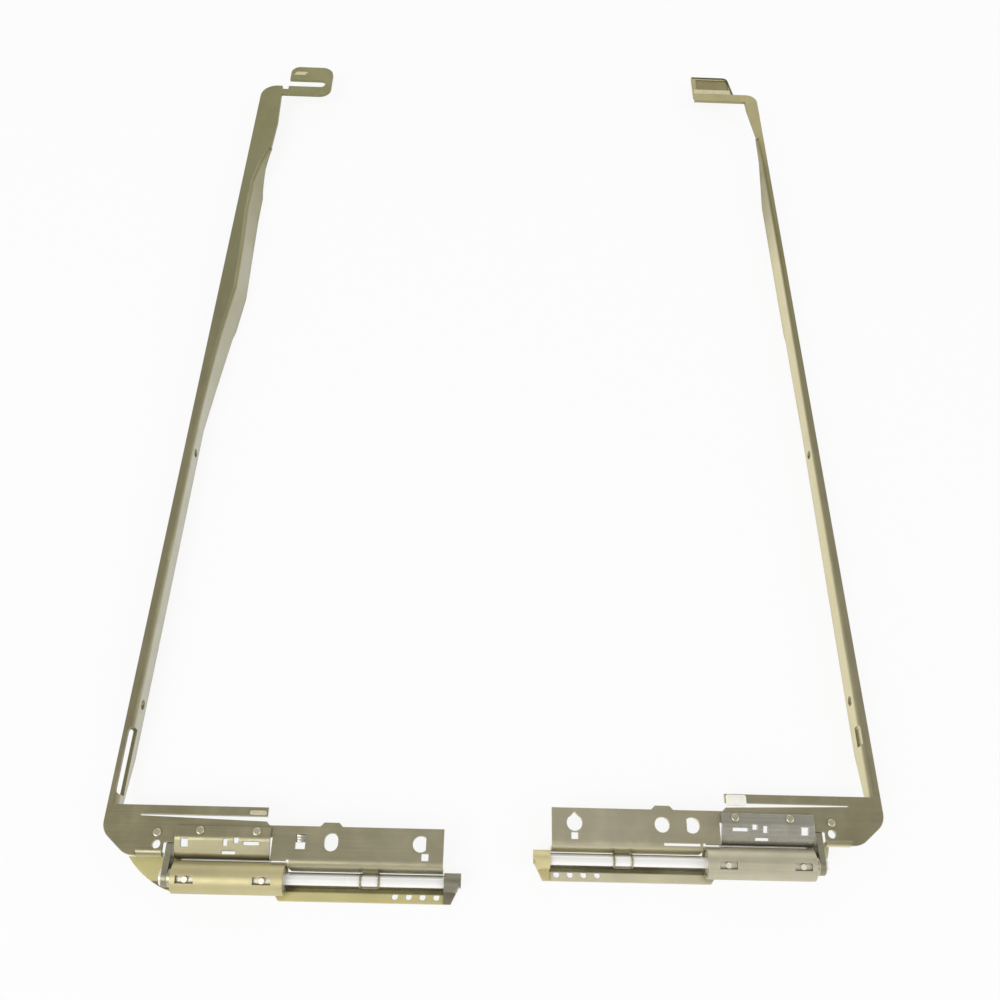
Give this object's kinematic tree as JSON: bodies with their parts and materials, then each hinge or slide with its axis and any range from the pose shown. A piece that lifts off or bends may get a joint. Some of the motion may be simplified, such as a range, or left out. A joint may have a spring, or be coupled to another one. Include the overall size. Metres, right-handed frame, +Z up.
{
  "type": "laptop hinge pair",
  "caption": "Pair of long stamped-steel laptop lid hinges: slim angle arms with end tabs, friction barrels on polished shafts, and narrow base leaves.",
  "frame": {"origin": "middle of the pair in plan, on the table that the hinges lie on", "axes": "+X from the left hinge to the right one, +Y up the arms away from the barrels, +Z up from the table"},
  "size_m": [0.1606, 0.2552, 0.0064],
  "materials": {
    "bracket_olive": "satin warm olive plating",
    "leaf_champagne": "satin yellow-olive plating",
    "leaf_grey": "satin warm grey plating",
    "cradle_steel": "brushed bright steel",
    "polished_shaft": "polished",
    "dark_steel": "dark oiled steel",
    "bright_steel": "plain steel",
    "cap_grey": "grey zinc",
    "sleeve_bronze": "sintered bronze",
    "pale_pad": "matt pale pad"
  },
  "bodies": {
    "display_brackets": {"left_display_bracket": "bracket_olive", "left_cradle_plate": "bracket_olive", "left_spindle_cheek": "dark_steel", "left_hinge_shaft": "polished_shaft", "left_thrust_washer": "bright_steel", "left_saddle_strap": "dark_steel", "left_shaft_rings": "dark_steel", "left_bracket_rivets": "bright_steel", "left_lip_pad": "pale_pad", "right_display_bracket": "bracket_olive", "right_cradle_plate": "cradle_steel", "right_spindle_cheek": "dark_steel", "right_hinge_shaft": "polished_shaft", "right_thrust_washer": "bright_steel", "right_saddle_strap": "dark_steel", "right_shaft_rings": "dark_steel", "right_bracket_rivets": "bright_steel", "right_lip_pad": "pale_pad"},
    "left_base": {"left_base_leaf": "leaf_champagne", "left_friction_sleeve": "sleeve_bronze", "left_end_cap": "cap_grey"},
    "right_base": {"right_base_leaf": "leaf_grey", "right_friction_sleeve": "sleeve_bronze", "right_end_cap": "leaf_champagne"}
  },
  "joints": [
    {"name": "left_hinge", "type": "hinge", "parent": "display_brackets", "child": "left_base", "pos_m": [-0.0403, -0.12375, 0.00315], "axis": [-1, 0, 0], "range_deg": [0, 180]},
    {"name": "right_hinge", "type": "hinge", "parent": "display_brackets", "child": "right_base", "pos_m": [0.0403, -0.11885, 0.00315], "axis": [-1, 0, 0], "range_deg": [0, 180]}
  ]
}
